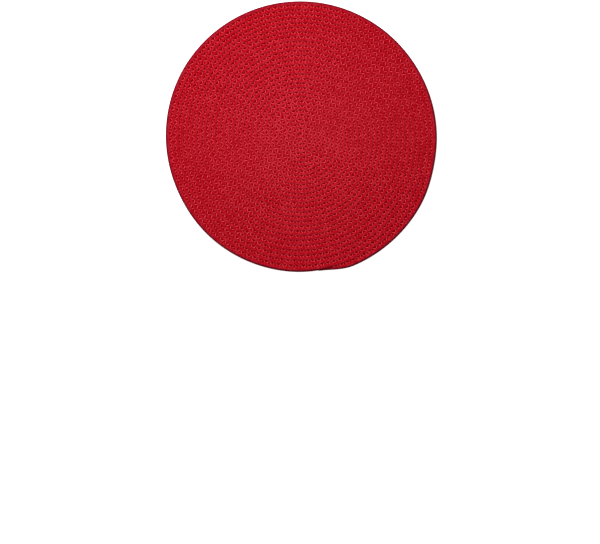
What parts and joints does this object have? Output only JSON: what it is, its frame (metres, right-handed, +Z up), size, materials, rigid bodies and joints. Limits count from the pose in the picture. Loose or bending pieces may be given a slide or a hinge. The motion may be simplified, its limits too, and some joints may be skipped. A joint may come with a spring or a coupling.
{
  "type": "round coiled cord placemat",
  "caption": "Round table placemat of soft red cord, wound flat into a spiral and zigzag sewn from turn to turn, with the cord's tapered end on the rim.",
  "frame": {"origin": "middle of the mat's outline, on the surface that it lies on", "axes": "+Z up through the mat's thickness, with its sewn face up; the cord winds outwards clockwise seen from +Z and ends at the rim about 278 degrees from +X towards +Y"},
  "size_m": [0.381, 0.3804, 0.005],
  "materials": {
    "cord": "matte red cotton-like braided cord, with a zigzag seam of the same red in every groove"
  },
  "bodies": {
    "root": {"coiled_cord_mat": "cord"}
  },
  "joints": []
}
